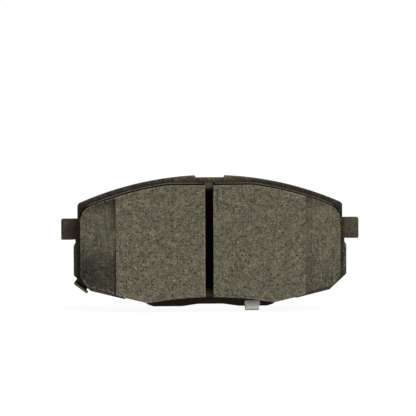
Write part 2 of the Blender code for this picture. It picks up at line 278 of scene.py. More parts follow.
def pattern_mesh(name, outline, holes, step, bend):
    """An open sheet: a flat pattern cut to an outline with holes, bent by a function of (a, b)."""
    rims = [outline, *holes]
    points = [Vector(p) for rim in rims for p in rim]
    edges, first = [], 0
    for rim in rims:
        edges += [(first + i, first + (i + 1) % len(rim)) for i in range(len(rim))]
        first += len(rim)
    rim_tree = search_tree(points)
    low, high = outline.min(axis=0), outline.max(axis=0)
    row_step = step * math.sqrt(3) / 2
    for row in range(int((high[1] - low[1]) / row_step)):
        b = low[1] + (row + 0.5) * row_step
        for column in range(int((high[0] - low[0]) / step)):
            a = low[0] + (column + 0.5 * (row % 2)) * step
            clear = rim_tree.find((a, b, 0.0))[2] > 0.6 * step
            if clear and inside((a, b), outline) and not any(inside((a, b), hole) for hole in holes):
                points.append(Vector((a, b)))
    only_inside, nearest = 1, 1e-7
    verts, _, faces, *_ = delaunay_2d_cdt(points, edges, [], only_inside, nearest)
    bm = bmesh.new()
    corners = [bm.verts.new(bend(v.x, v.y)) for v in verts]
    for face in faces:
        centre = sum((verts[i] for i in face), Vector((0.0, 0.0))) / len(face)
        if not any(inside(centre, hole) for hole in holes):
            bm.faces.new([corners[i] for i in face])
    return mesh_from(bm, name)


def sheet_mesh(name, outline, holes, step, thickness, bend, edge_radius):
    """Sheet metal: a bent flat pattern made solid, with its edges rounded."""
    outline = resampled(outline, step)
    holes = [resampled(hole, step) for hole in holes]
    blank = in_scene(name + "_blank", pattern_mesh(name, outline, holes, step, bend))
    solid = blank.modifiers.new("thickness", "SOLIDIFY")
    solid.thickness = thickness
    solid.offset = 0.0
    rounding = blank.modifiers.new("edges", "BEVEL")
    rounding.width = edge_radius
    rounding.segments = 2
    rounding.limit_method = "ANGLE"
    rounding.angle_limit = math.radians(50)
    bpy.context.view_layer.update()
    made = bpy.data.meshes.new_from_object(blank.evaluated_get(bpy.context.evaluated_depsgraph_get()))
    bpy.data.objects.remove(blank, do_unlink=True)
    return made


def rounded(corners, radius, segments):
    """A polygon's corner points with each corner rounded; corners are anticlockwise."""
    points = []
    for i, corner in enumerate(corners):
        at = Vector(corner)
        before = (Vector(corners[i - 1]) - at).normalized()
        after = (Vector(corners[(i + 1) % len(corners)]) - at).normalized()
        turn = before.angle(after)
        reach = radius / math.tan(turn / 2)
        centre = at + (before + after).normalized() * radius / math.sin(turn / 2)
        start, end = at + before * reach - centre, at + after * reach - centre
        for k in range(segments + 1):
            points.append(tuple(centre + start.slerp(end, k / segments) * radius))
    return np.array(points)


# ---- materials; lengths in them are millimetres ----


class Finish:
    """A node material. Its pattern functions return sockets, and place is the point on the object."""

    def __init__(self, name, roughness, metallic=0.0, specular=0.5):
        self.material = bpy.data.materials.new(name)
        self.material.use_nodes = True
        self.tree = self.material.node_tree
        self.shader = self.tree.nodes["Principled BSDF"]
        self.shader.inputs["Roughness"].default_value = roughness
        self.shader.inputs["Metallic"].default_value = metallic
        self.shader.inputs["Specular IOR Level"].default_value = specular
        where = self.add("ShaderNodeTexCoord").outputs["Object"]
        self.place = self.vector("SCALE", where, scale=1 / MM)
        self.x, self.y, self.z = self.add("ShaderNodeSeparateXYZ", {0: self.place}).outputs

    def add(self, kind, values=None, **settings):
        node = self.tree.nodes.new(kind)
        for key, value in settings.items():
            setattr(node, key, value)
        for key, value in (values or {}).items():
            if isinstance(value, bpy.types.NodeSocket):
                self.tree.links.new(value, node.inputs[key])
            else:
                node.inputs[key].default_value = value
        return node

    def vector(self, operation, a, b=(0.0, 0.0, 0.0), scale=1.0):
        values = {0: a, 1: b, 3: scale}
        return self.add("ShaderNodeVectorMath", values, operation=operation).outputs[0]

    def math(self, operation, a, b=0.0):
        return self.add("ShaderNodeMath", {0: a, 1: b}, operation=operation).outputs[0]

    def plus(self, a, b):
        return self.math("ADD", a, b)

    def minus(self, a, b):
        return self.math("SUBTRACT", a, b)

    def times(self, a, b):
        return self.math("MULTIPLY", a, b)

    def larger(self, a, b):
        return self.math("MAXIMUM", a, b)

    def magnitude(self, a):
        return self.math("ABSOLUTE", a)

    def ramp(self, value, low, high, out_low=0.0, out_high=1.0):
        """value from low..high to out_low..out_high, with soft ends."""
        values = {"Value": value, "From Min": low, "From Max": high, "To Min": out_low, "To Max": out_high}
        return self.add("ShaderNodeMapRange", values, interpolation_type="SMOOTHSTEP").outputs[0]

    def stretch(self, factors, vector=None):
        return self.vector("MULTIPLY", vector or self.place, factors)

    def noise(self, size, detail=3.0, roughness=0.55, vector=None):
        """Clouds of about this size, 0 to 1."""
        vector = vector or self.place
        values = {"Scale": 1.0 / size, "Detail": detail, "Roughness": roughness, "Vector": vector}
        return self.add("ShaderNodeTexNoise", values).outputs["Fac"]

    def flattened(self, vector):
        """(x, z) of a vector, for patterns that run straight through the thickness."""
        parts = self.add("ShaderNodeSeparateXYZ", {0: vector}).outputs
        return self.add("ShaderNodeCombineXYZ", {0: parts[0], 1: parts[2]}).outputs[0]

    def flecks(self, spacing, radius, share, vector):
        """Separate specks, one in each cell, on this share of the cells."""
        values = {"Scale": 1.0 / spacing, "Vector": self.flattened(vector)}
        cells = self.add("ShaderNodeTexVoronoi", values, voronoi_dimensions="2D")
        draw = self.add("ShaderNodeSeparateColor", {0: cells.outputs["Color"]})
        size = self.ramp(draw.outputs[1], 0.0, 1.0, 0.5 * radius / spacing, 1.3 * radius / spacing)
        speck = self.minus(1.0, self.math("DIVIDE", cells.outputs["Distance"], size))
        speck = self.ramp(speck, 0.0, 0.45)
        chosen = self.math("LESS_THAN", draw.outputs[0], share)
        return self.times(speck, chosen)

    def warped(self, amount, size):
        """The place, pushed about by noise, which makes specks irregular."""
        values = {"Scale": 1.0 / size, "Detail": 2.0, "Vector": self.place}
        push = self.add("ShaderNodeTexNoise", values).outputs["Color"]
        push = self.vector("SUBTRACT", push, (0.5, 0.5, 0.5))
        push = self.vector("SCALE", push, scale=amount)
        return self.vector("ADD", self.place, push)

    def mix(self, factor, a, b, blend="MIX"):
        values = {0: factor, 6: self.rgba(a), 7: self.rgba(b)}
        return self.add("ShaderNodeMix", values, data_type="RGBA", blend_type=blend).outputs[2]

    def tinted(self, colour, mask, amount, tint):
        """colour turned towards a tint by a share of the mask."""
        return self.mix(self.times(mask, amount), colour, tint)

    def rgba(self, colour):
        return colour if isinstance(colour, bpy.types.NodeSocket) else (*colour, 1.0)

    def shaded(self, colour, factor):
        """colour times a grey factor."""
        grey = self.add("ShaderNodeCombineColor", {0: factor, 1: factor, 2: factor}).outputs[0]
        return self.mix(1.0, colour, grey, "MULTIPLY")

    def painted(self, name):
        """A number stored on the mesh's points."""
        return self.add("ShaderNodeAttribute", attribute_name=name).outputs["Fac"]

    def bump(self, height, depth, under=None):
        """Adds a bump whose full height is depth millimetres."""
        values = {"Height": height, "Distance": depth * MM, "Strength": 1.0}
        if under:
            values["Normal"] = under
        return self.add("ShaderNodeBump", values).outputs[0]

    def connect(self, **sockets):
        for name, socket in sockets.items():
            self.tree.links.new(socket, self.shader.inputs[name.replace("_", " ").title()])
        return self.material


def friction_finish():
    f = Finish("friction_composite", roughness=0.9, specular=0.25)
    chamfer = f.painted("chamfer")
    mottle = f.noise(1.9, 3.0, 0.6)
    grain = f.noise(0.75, 4.0, 0.65)
    fine = f.noise(0.30, 3.0, 0.7)
    loose = f.warped(0.8, 0.5)
    # Resin and fillers, a mottled olive grey.
    colour = f.mix(f.ramp(f.noise(4.5, 3.0), 0.38, 0.62), (0.112, 0.106, 0.071), (0.150, 0.130, 0.088))
    green = f.ramp(f.noise(1.7, 3.0), 0.50, 0.64)
    colour = f.tinted(colour, green, 0.40, (0.088, 0.096, 0.065))
    colour = f.shaded(colour, f.ramp(mottle, 0.34, 0.66, 0.83, 1.19))
    colour = f.shaded(colour, f.ramp(grain, 0.34, 0.66, 0.66, 1.36))
    colour = f.shaded(colour, f.ramp(fine, 0.32, 0.68, 0.72, 1.28))
    # Dark, rusty, light and brass flecks, and pits.
    dark = f.larger(f.flecks(1.25, 0.31, 0.50, loose), f.flecks(2.2, 0.36, 0.45, loose))
    colour = f.tinted(colour, dark, f.ramp(chamfer, 0.0, 1.0, 0.92, 0.45), (0.015, 0.014, 0.011))
    rusty = f.flecks(2.5, 0.42, 0.35, f.stretch((1.0, 1.0, 1.4), loose))
    colour = f.tinted(colour, rusty, 0.45, (0.125, 0.080, 0.050))
    light = f.flecks(1.7, 0.34, 0.34, f.stretch((1.3, 1.0, 1.0), loose))
    colour = f.tinted(colour, light, 0.60, (0.250, 0.235, 0.170))
    brass = f.flecks(5.5, 0.34, 0.5, loose)
    colour = f.tinted(colour, brass, 0.7, (0.360, 0.330, 0.220))
    # The pits are painted near black, a painted shade in their hollows.
    colour = f.tinted(colour, f.painted("pit"), 0.80, (0.020, 0.018, 0.014))
    colour = chamfer_look(f, colour, chamfer, loose)
    chips = f.ramp(f.noise(0.9, 3.0, 0.6), 0.44, 0.58)
    colour = f.tinted(colour, f.painted("chips"), chips, (0.260, 0.240, 0.170))
    # Coating on the side walls, thin in places.
    bare = f.ramp(f.noise(1.8, 4.0, 0.65, f.stretch((1.0, 0.5, 1.0))), 0.56, 0.72)
    coat = f.minus(1.0, f.times(bare, 0.25))
    colour = f.tinted(colour, f.painted("wall"), coat, (0.0040, 0.0031, 0.0025))
    normal = f.bump(fine, 0.05)
    normal = f.bump(grain, 0.10, normal)
    normal = f.bump(f.minus(1.0, dark), 0.08, normal)
    return f.connect(base_color=colour, roughness=f.ramp(grain, 0.3, 0.7, 0.82, 0.96), normal=normal)


def chamfer_look(f, colour, chamfer, loose):
    """Grinding streaks along the chamfers, burns, and dark coating, partly painted shade, with tan flecks."""
    streak = f.noise(1.0, 3.0, 0.6, f.stretch((2.4, 1.0, 0.11)))
    colour = f.mix(chamfer, colour, f.shaded(colour, f.ramp(streak, 0.34, 0.66, 0.76, 1.15)))
    groove = f.ramp(f.noise(1.0, 2.0, 0.5, f.stretch((2.6, 1.0, 0.03))), 0.46, 0.56, 0.22, 0.58)
    colour = f.tinted(colour, f.painted("brown"), groove, (0.064, 0.047, 0.029))
    speck = f.noise(0.62, 3.0, 0.7)
    blotch = f.ramp(f.noise(3.0, 2.0, 0.5), 0.3, 0.7, -0.07, 0.07)
    blotch = f.plus(blotch, f.ramp(speck, 0.36, 0.64, -0.16, 0.16))
    # The chamfers are darkened by a dark coating and, in places, by painted shade.
    soot_and_shade = f.times(chamfer, f.plus(f.painted("soot_and_shade"), blotch))
    burnt = f.mix(f.ramp(f.z, -2.0, 6.0), (0.021, 0.018, 0.0142), (0.027, 0.0205, 0.0130))
    colour = f.mix(soot_and_shade, colour, f.shaded(burnt, f.ramp(speck, 0.34, 0.66, 1.5, 0.55)))
    tan = f.flecks(1.5, 0.36, 0.40, f.stretch((1.0, 1.0, 0.6), loose))
    tan_colour = f.mix(f.ramp(soot_and_shade, 0.2, 0.7), (0.200, 0.185, 0.125), (0.105, 0.092, 0.066))
    return f.tinted(colour, f.times(tan, chamfer), 0.55, tan_colour)


def beside_lining(f):
    """Millimetres from the lining's top edge or its ends outwards, and less than 0 within them."""
    rise = f.minus(f.z, DISC_AXIS_Z / MM)
    radius = f.math("SQRT", f.plus(f.times(f.x, f.x), f.times(rise, rise)))
    above = f.larger(f.minus(radius, LINING_ARC_R / MM), f.minus(f.z, LINING_TOP_Z / MM))
    return f.larger(above, f.minus(f.magnitude(f.x), LINING_X / MM))


def paint_finish():
    f = Finish("baked_paint", roughness=0.62, specular=0.2)
    x, z, away_x, away_z = f.x, f.z, f.magnitude(f.x), f.magnitude(f.z)
    film = f.noise(0.9, 4.0, 0.65)
    crown = f.times(f.ramp(away_x, 6.0, 24.0), f.ramp(z, 4.0, 9.0))
    colour = f.mix(crown, (0.127, 0.1050, 0.066), (0.065, 0.0535, 0.0400))
    dusty = f.times(f.ramp(x, 50.0, 58.0), f.ramp(z, 0.0, -7.0))
    colour = f.tinted(colour, dusty, 0.8, (0.130, 0.105, 0.068))
    # Painted shade: darker towards the lining's top edge and ends, where the lining shades the plate.
    near = f.plus(beside_lining(f), f.ramp(film, 0.3, 0.7, -0.9, 0.9))
    near = f.larger(near, f.ramp(z, -21.0, -25.0, -0.5, 4.5))
    colour = f.shaded(colour, f.ramp(near, 0.3, 4.4, 0.20, 1.0))
    # The ears are darker, the left one most, and both are brown at the root. The left ear's dark colour,
    # darkest towards the lining, is a painted shadow of the lining.
    ears = f.ramp(away_z, 7.5, 4.5)
    left = f.times(ears, f.ramp(x, -50.0, -57.0))
    colour = f.mix(left, colour, f.shaded((0.041, 0.030, 0.0205), f.ramp(near, 0.0, 8.5, 0.30, 1.25)))
    right = f.times(ears, f.ramp(x, 50.0, 57.0))
    colour = f.shaded(colour, f.ramp(right, 0.0, 1.0, 1.0, 0.53))
    root = f.times(f.ramp(away_z, 7.5, 2.5), f.ramp(away_x, 60.5, 57.5))
    colour = f.tinted(colour, root, f.ramp(film, 0.36, 0.60, 0.3, 1.0), (0.040, 0.022, 0.0080))
    # Painted shade: the edge below the left ear, in the lining's shadow, and the plate's foot under the lining
    # are darker too.
    low = f.times(f.ramp(x, -55.0, -57.0), f.ramp(z, -5.5, -8.0))
    colour = f.shaded(colour, f.ramp(low, 0.0, 1.0, 1.0, 0.64))
    colour = f.mix(f.ramp(z, -29.0, -30.6), colour, (0.0165, 0.0085, 0.0038))
    # Uneven film, rust that shows through, scuffs.
    patches = f.noise(1.6, 4.0, 0.65, f.stretch((1.5, 1.0, 0.8)))
    colour = f.shaded(colour, f.ramp(f.noise(5.0, 4.0, 0.6), 0.3, 0.7, 0.78, 1.20))
    colour = f.shaded(colour, f.ramp(patches, 0.34, 0.66, 0.72, 1.26))
    colour = f.shaded(colour, f.ramp(film, 0.34, 0.66, 0.74, 1.26))
    rusty = f.ramp(f.noise(3.1, 4.0, 0.6, f.stretch((1.0, 1.0, 0.5))), 0.50, 0.66)
    colour = f.tinted(colour, rusty, 0.35, (0.042, 0.026, 0.015))
    scuffs = f.flecks(4.0, 0.32, 0.35, f.warped(1.4, 1.0))
    colour = f.tinted(colour, scuffs, 0.4, (0.120, 0.108, 0.088))
    normal = f.bump(f.noise(0.45, 3.0, 0.6), 0.03)
    normal = f.bump(f.noise(2.2, 2.0), 0.05, normal)
    return f.connect(base_color=colour, roughness=f.ramp(film, 0.3, 0.7, 0.55, 0.76), normal=normal)


def underlayer_finish():
    f = Finish("moulded_underlayer", roughness=0.88, specular=0.06)
    grain = f.noise(0.5, 4.0, 0.7)
    colour = f.mix(f.ramp(grain, 0.35, 0.65), (0.050, 0.043, 0.032), (0.088, 0.076, 0.058))
    specks = f.flecks(1.6, 0.22, 0.4, f.warped(0.6, 0.5))
    colour = f.tinted(colour, specks, 0.4, (0.120, 0.105, 0.075))
    # Painted shade: the deep slot's floor is dark but for its two ends.
    from_slot = f.magnitude(f.minus(f.x, SLOT_X / MM))
    floor = f.times(f.ramp(f.z, -28.7, -25.6), f.ramp(f.z, 19.0, 17.0))
    floor = f.times(floor, f.math("LESS_THAN", from_slot, 5.0))
    colour = f.mix(floor, colour, (0.0032, 0.0010, 0.0006))
    colour = f.shaded(colour, f.ramp(f.z, -10.0, -24.0, 1.0, 0.45))
    # Painted shade right beside the lining, a painted highlight where it sticks out past it, duller on the
    # side walls.
    ledge = f.ramp(beside_lining(f), 0.28, 0.46, 0.06, 2.5)
    depth = f.minus(f.y, LINING_REAR_Y / MM)
    ledge = f.times(ledge, f.ramp(depth, 0.25, 0.75, 1.0, 0.36))
    ledge = f.times(ledge, f.ramp(from_slot, 2.4, 3.0))
    slot = f.ramp(from_slot, 1.9, 1.7, 0.0, 1.35)
    colour = f.shaded(colour, f.larger(ledge, slot))
    rough = f.ramp(grain, 0.3, 0.7, 0.8, 0.95)
    return f.connect(base_color=colour, roughness=rough, normal=f.bump(grain, 0.09))


def rubber_finish():
    f = Finish("rubber_skin", roughness=0.7, specular=0.35)
    cloth = f.noise(3.5, 4.0, 0.6)
    colour = f.mix(f.ramp(cloth, 0.3, 0.7), (0.012, 0.012, 0.0125), (0.023, 0.0225, 0.0215))
    normal = f.bump(f.noise(0.3, 3.0, 0.6), 0.03)
    return f.connect(base_color=colour, roughness=f.ramp(cloth, 0.3, 0.7, 0.58, 0.8), normal=normal)


def steel_finish(name, light, dark, roughness, grain_stretch, tint=None, fold=None):
    """Rolled or drawn steel with a directional grain, stains and scratches.

    tint is the colour of its spots, and fold the height of a fold above which light and shade are painted.
    """
    f = Finish(name, roughness=roughness, metallic=0.92)
    grain = f.noise(1.0, 4.0, 0.65, f.stretch(grain_stretch))
    stain = f.noise(3.2, 4.0, 0.6)
    colour = f.mix(f.ramp(stain, 0.32, 0.68), light, dark)
    colour = f.shaded(colour, f.ramp(grain, 0.3, 0.7, 0.86, 1.08))
    if tint:
        spots = f.flecks(2.4, 0.5, 0.4, f.warped(1.2, 0.8))
        colour = f.tinted(colour, spots, 0.5, tint)
    if fold:  # bright just above it, dull in its outer bend
        # Painted light: the upper hook is painted shade from the lining above it, the lower part a painted
        # reflection of the bright floor, and the outer bend painted shade.
        colour = f.shaded(colour, f.ramp(f.z, fold + 3.4, fold + 2.2, 0.86, 1.0))
        colour = f.mix(f.ramp(f.z, fold + 2.4, fold + 0.9), colour, (0.79, 0.77, 0.63))
        colour = f.shaded(colour, f.ramp(f.z, fold + 0.95, fold + 0.45, 1.0, 0.30))
    scratch = f.ramp(f.noise(1.0, 2.0, 0.5, f.stretch((0.35, 0.35, 5.0))), 0.66, 0.74)
    rough = f.ramp(stain, 0.3, 0.7, roughness - 0.08, roughness + 0.12)
    rough = f.plus(rough, f.times(scratch, -0.12))
    normal = f.bump(grain, 0.012)
    normal = f.bump(scratch, -0.01, normal)
    return f.connect(base_color=colour, roughness=rough, normal=normal)


# ---- pieces ----


def make_plate():
    outline = resampled(wall_outline("backing_plate", PLATE_FRONT_Y + 0.3 * MM), 0.6 * MM)
    front, rear = PLATE_FRONT_Y, PLATE_REAR_Y
    profile = [
        (0.42, front),  # die roll round the front face
        (0.27, front + 0.03 * MM),
        (0.13, front + 0.12 * MM),
        (0.04, front + 0.26 * MM),
        (0.00, front + 0.48 * MM),
        (0.00, front + 2.6 * MM),
        (0.04, front + 3.1 * MM),  # torn part of the sheared edge
        (0.03, rear - 0.9 * MM),
        (0.00, rear - 0.12 * MM),
        (0.05, rear - 0.03 * MM),
        (0.14, rear),
    ]
    wobble = np.abs(roughness_along(outline, 1.3 * MM, 0.03 * MM, 3.0))
    mesh = edge_profile_mesh("plate", outline, profile, wobble)
    return finish_piece(mesh, "plate", "backing_plate", paint_finish())


def make_underlayer():
    outline = resampled(wall_outline("underlayer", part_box("underlayer")[0].y), 0.35 * MM)
    front, rear = LINING_REAR_Y + CLOSE, PLATE_FRONT_Y - CLOSE
    profile = [
        (0.02, front),
        (-0.03, front + 0.5 * MM),
        (0.02, rear - 0.9 * MM),
        (-0.05, rear - 0.3 * MM),
        (0.02, rear),
    ]
    flash = 0.74 * MM * smooth_step(-2 * MM, 6 * MM, outline[:, 1])  # squeezed out along the top
    wobble = 0.12 * MM - flash + roughness_along(outline, 0.8 * MM, 0.14 * MM, 8.0)
    mesh = edge_profile_mesh("underlayer_compound", outline, profile, wobble)
    return finish_piece(mesh, "underlayer_compound", "underlayer", underlayer_finish())


def spaced(start, end, step, extra=()):
    """Places from start to end, close together near both ends, with some extra ones."""
    margin = (0.0, 0.03 * MM, 0.09 * MM, 0.19 * MM)
    middle = np.linspace(start + 0.34 * MM, end - 0.34 * MM, round((end - start) / step))
    places = [start + m for m in margin] + [end - m for m in margin] + list(middle)
    kept = [p for p in places if all(abs(p - e) > 0.3 * step for e in extra)]
    return np.array(sorted(kept + list(extra)))


def edge_only(points, end, sign):
    """Drops a side wall's points at one end, all but the uppermost (sign 1) or the lowest (sign -1)."""
    at_end = np.abs(points[:, 0] - end) < SNAP
    height = sign * points[:, 1]
    return points[~at_end | (height > height[at_end].max() - SNAP)]


def block_grid(side, outline):
    """Points all over a block's face: a column of (a, z) at each a, the distance from the middle."""
    ordered = np.array(sorted((side * x, z) for x, z in outline))
    upper, lower = ordered[ordered[:, 1] > SPLIT_Z], ordered[ordered[:, 1] <= SPLIT_Z]
    inner, outer = ordered[0, 0], ordered[-1, 0]
    for end in (inner, outer):
        upper = edge_only(upper, end, 1)
        lower = edge_only(lower, end, -1)
    columns = spaced(inner, outer, GRID, (STEP_START, STEP_END))
    top = np.interp(columns, upper[:, 0], upper[:, 1])
    bottom = np.interp(columns, lower[:, 0], lower[:, 1])
    rows = spaced(0.0, (top - bottom).max(), GRID) / (top - bottom).max()
    a = np.repeat(columns[:, None], len(rows), axis=1)
    return a, bottom[:, None] + rows[None, :] * (top - bottom)[:, None]


def pit_field(points, seed):
    """Depth, 0 to 1, of small torn-out places in the ground face at (a, z) points."""
    draw = random.Random(seed)
    low, high = points.min(axis=0), points.max(axis=0)
    tree = search_tree(points)
    depth = np.zeros(len(points))
    for _ in range(PITS):
        x, z = draw.uniform(low[0], high[0]), draw.uniform(low[1], high[1])
        radius = draw.uniform(0.16, 0.42) * MM
        strength = draw.uniform(0.35, 1.0)
        squeeze, turn = draw.uniform(0.5, 1.0), draw.uniform(0, math.pi)
        for co, index, _ in tree.find_range((x, z, 0.0), radius * 1.6):
            across = (co.x - x) * math.cos(turn) + (co.y - z) * math.sin(turn)
            along = (co.y - z) * math.cos(turn) - (co.x - x) * math.sin(turn)
            ragged = 1 + 0.45 * noise.noise((co.x / MM * 2.3, co.y / MM * 2.3, radius / MM * 9))
            reach = math.hypot(across / squeeze, along) / (radius * ragged)
            depth[index] = max(depth[index], strength * max(0.0, 1 - reach * reach))
    return depth


def waves(x, z, across, along, seed):
    """Smooth noise from -1 to 1; across and along are about how many waves a millimetre holds."""
    return np.array([noise.noise((p / MM * across, seed, q / MM * along)) for p, q in zip(x, z)])


def crumbly(points, per_mm):
    """Noise with finer noise in it at each 3-D point."""
    return np.array([noise.fractal([c / MM * per_mm for c in point], 0.8, 2.1, 3) for point in points])


def shoulders(a, z):
    """1 along the lining's falling upper edge, 0 elsewhere."""
    return smooth_step(22 * MM, 30 * MM, a) * smooth_step(5 * MM, 10 * MM, z)


def face_y(side, a, z, edge, chamfer, pits):
    """Y of the ground face: its chamfer, its softened edges, and its waves, grain, pits and streaks."""
    x = side * a
    y = FACE_Y + chamfer * (CHAMFER_STEP + np.clip(a - CHAMFER_X, 0, None) * CHAMFER_SLOPE)
    worn = np.clip(waves(x, z, 0.8, 0.8, 4.0) * 2, 0, 1)
    slot_edge = smooth_step(a.min() + 2 * MM, a.min() + 1 * MM, a) * (side < 0)
    radius = (0.20 + 0.16 * worn + 0.16 * shoulders(a, z) + 0.20 * slot_edge) * MM
    short = np.clip(radius - edge, 0, None)
    y = y + radius - np.sqrt(radius**2 - short**2)
    grain = crumbly(np.stack((x, np.full(len(x), 4 / 3 * MM), z), axis=1), 1.5)
    y = y + 0.012 * MM * (waves(x, z, 1 / 7, 1 / 7, 5.0) + 1) + 0.02 * MM * np.clip(grain + 1, 0, 2)
    return y + 0.16 * MM * pits + chamfer * 0.03 * MM * (waves(x, z, 2.4, 0.14, 9.0) + 1)


def ridge(middle, width, value):
    """1 at the middle, and less on both sides of it."""
    return np.exp(-(((value - middle) / width) ** 2))


def face_marks(side, a, z, edge, chamfer):
    """Chips, burns, and dark coating that is partly painted shade, at each point, each from 0 to about 1, for
    the face's material.
    """
    edge_chips = 0.25 + 0.3 * shoulders(a, z)
    a, z, edge = a / MM, z / MM, edge / MM
    past = a - CHAMFER_X / MM
    upper_edge = smooth_step(2.4, 0.2, edge) * smooth_step(1, 6, z)
    if side < 0:
        edge_chips = edge_chips + 0.6 * chamfer * smooth_step(-18, -23, z)
        brown = smooth_step(3.2, 1.2, past) * smooth_step(-4, 3, z)
        soot_and_shade = 0.70 * smooth_step(5, 13, z) + 0.72 * smooth_step(0, -18, z) + 0.24 * upper_edge
        # It lies round the outer edge, and as a painted shadow of the step in the step's corner and at its
        # top.
        soot_and_shade = soot_and_shade + 0.6 * smooth_step(0.75, 0.25, past) * smooth_step(-3, -10, z)
        soot_and_shade = soot_and_shade + 0.16 * smooth_step(48, 55, a) * smooth_step(-6, -14, z)
        soot_and_shade = soot_and_shade + 0.30 * smooth_step(2.6, 0.6, past) * smooth_step(-2, 8, z)
    else:
        edge_chips = edge_chips * (1 - 0.85 * chamfer)
        # A faint band, and two burnt lines in it.
        brown = 0.25 * smooth_step(3.6, 2.6, past)
        brown = brown + 0.85 * ridge(0.85, 0.38, past) + 0.60 * ridge(2.55, 0.6, past)
        soot_and_shade = 0.42 * smooth_step(8, 15, z) + 0.36 * smooth_step(-1, -24, z) + 0.20 * upper_edge
        # It lies over the upper corner, and at the top of the step.
        soot_and_shade = soot_and_shade + 0.34 * smooth_step(61.5, 65.0, a + z)
        soot_and_shade = soot_and_shade + 0.30 * smooth_step(3.6, 1.6, past) * smooth_step(9, 15, z)
    return {"chips": smooth_step(0.75, 0.25, edge) * edge_chips, "brown": chamfer * brown, "soot_and_shade": soot_and_shade}


def with_walls(side, verts, faces, loop):
    """Adds the side walls, from the loop round the face back to the lining's rear.

    They are slightly hollow here and there. The last thing returned is the loop at the rear.
    """
    ring, count = verts[loop], len(loop)
    outline = ring[:, [0, 2]]
    outwards = inset(outline * (side, 1), np.full(count, -1.0)) * (side, 1) - outline
    all_verts, all_faces = [verts], [faces]
    for row in range(1, WALL_ROWS + 1):
        level = ring.copy()
        level[:, 1] += (LINING_REAR_Y - ring[:, 1]) * (row / WALL_ROWS)
        bulge = crumbly(level, 0.9)
        level[:, [0, 2]] += outwards * (np.clip(bulge - 0.6, -1.2, 0) * 0.07 * MM)[:, None]
        below = len(verts) + (row - 1) * count + np.arange(count)
        all_verts.append(level)
        all_faces.append(np.stack((loop, np.roll(loop, -1), np.roll(below, -1), below), axis=-1))
        loop = below
    return np.concatenate(all_verts), np.concatenate(all_faces), loop


def make_friction_block(side, material):
    """Makes a block with a finely modelled ground face; side is 1 for the right one, -1 for the left.

    a is a point's distance from the middle, z its height, and edge its distance from the face's rim.
    """
    node = "friction_block_right" if side > 0 else "friction_block_left"
    outline = resampled(wall_outline(node, LINING_REAR_Y), 0.12 * MM)
    a, z = block_grid(side, outline)
    on_rim = np.ones(a.shape, bool)
    on_rim[1:-1, 1:-1] = False
    index = np.arange(a.size).reshape(a.shape)
    faces = np.stack((index[:-1, :-1], index[1:, :-1], index[1:, 1:], index[:-1, 1:]), axis=-1)
    loop = np.concatenate((index[:-1, 0], index[-1, :-1], index[:0:-1, -1], index[0, :0:-1]))
    a, z = a.ravel(), z.ravel()
    rim = search_tree(outline * (side, 1))
    edge = np.array([rim.find((p, q, 0.0))[2] for p, q in zip(a, z)])
    edge[on_rim.ravel()] = 0.0
    chamfer = smooth_step(STEP_START, STEP_END, a)
    pits = pit_field(np.stack((a, z), axis=1), 11 + side)
    verts = np.stack((side * a, face_y(side, a, z, edge, chamfer, pits), z), axis=1)
    verts, faces, rear = with_walls(side, verts, faces.reshape(-1, 4), loop)
    mesh = bpy.data.meshes.new(node + "_ground")
    mesh.from_pydata(verts.tolist(), [], faces.tolist())
    marks = {**face_marks(side, a, z, edge, chamfer), "chamfer": chamfer, "pit": pits}
    on_walls = np.zeros(len(verts) - a.size)
    stored = {name: np.concatenate((values, on_walls)) for name, values in marks.items()}
    stored["wall"] = np.concatenate((np.zeros(a.size), on_walls + 1))
    for name, values in stored.items():
        attribute = mesh.attributes.new(name, "FLOAT", "POINT")
        attribute.data.foreach_set("value", values.astype(np.float32))
    bm = bmesh.new()
    bm.from_mesh(mesh)
    bm.verts.ensure_lookup_table()
    pairs = zip(rear.tolist(), np.roll(rear, -1).tolist())
    edges = [bm.edges.get((bm.verts[i], bm.verts[j])) for i, j in pairs]
    bmesh.ops.triangle_fill(bm, use_beauty=True, edges=edges)
    bmesh.ops.recalc_face_normals(bm, faces=bm.faces)
    bm.to_mesh(mesh)
    bm.free()
    return finish_piece(mesh, "lining_" + node.rsplit("_", 1)[1], node, material, 48)


def shim_bend(x, b):
    """Places the shim's flat pattern: below the hook's line it goes round and under the plate."""
    if b >= HOOK_LINE:
        return (x, SHIM_MIDDLE_Y - shim_groove(x, b), b)
    s = HOOK_LINE - b
    if s < HOOK_ARC:
        angle = s / HOOK_BEND_R
        y = SHIM_MIDDLE_Y - HOOK_BEND_R * (1 - math.cos(angle))
        return (x, y, HOOK_LINE - HOOK_BEND_R * math.sin(angle))
    s = s - HOOK_ARC
    if s < HOOK_RUN:
        return (x, SHIM_MIDDLE_Y - HOOK_BEND_R - s, HOOK_FOOT_Z)
    s = s - HOOK_RUN
    if s < HOOK_ARC:
        angle = s / HOOK_BEND_R
        y = HOOK_FRONT_Y + HOOK_BEND_R * (1 - math.sin(angle))
        return (x, y, HOOK_LINE - HOOK_BEND_R * math.cos(angle))
    return (x, HOOK_FRONT_Y, HOOK_LINE + s - HOOK_ARC)


def shim_groove(x, z):
    """Depth of the stiffening groove pressed round each window."""
    away_x = max(abs(abs(x) - WINDOW_X) - GROOVE_HALF.x + GROOVE_CORNER, 0.0)
    away_z = max(abs(z - WINDOW_Z) - GROOVE_HALF.y + GROOVE_CORNER, 0.0)
    from_middle = abs(math.hypot(away_x, away_z) - GROOVE_CORNER)
    return GROOVE_DEPTH * float(smooth_step(GROOVE_REACH, 0.0, from_middle))


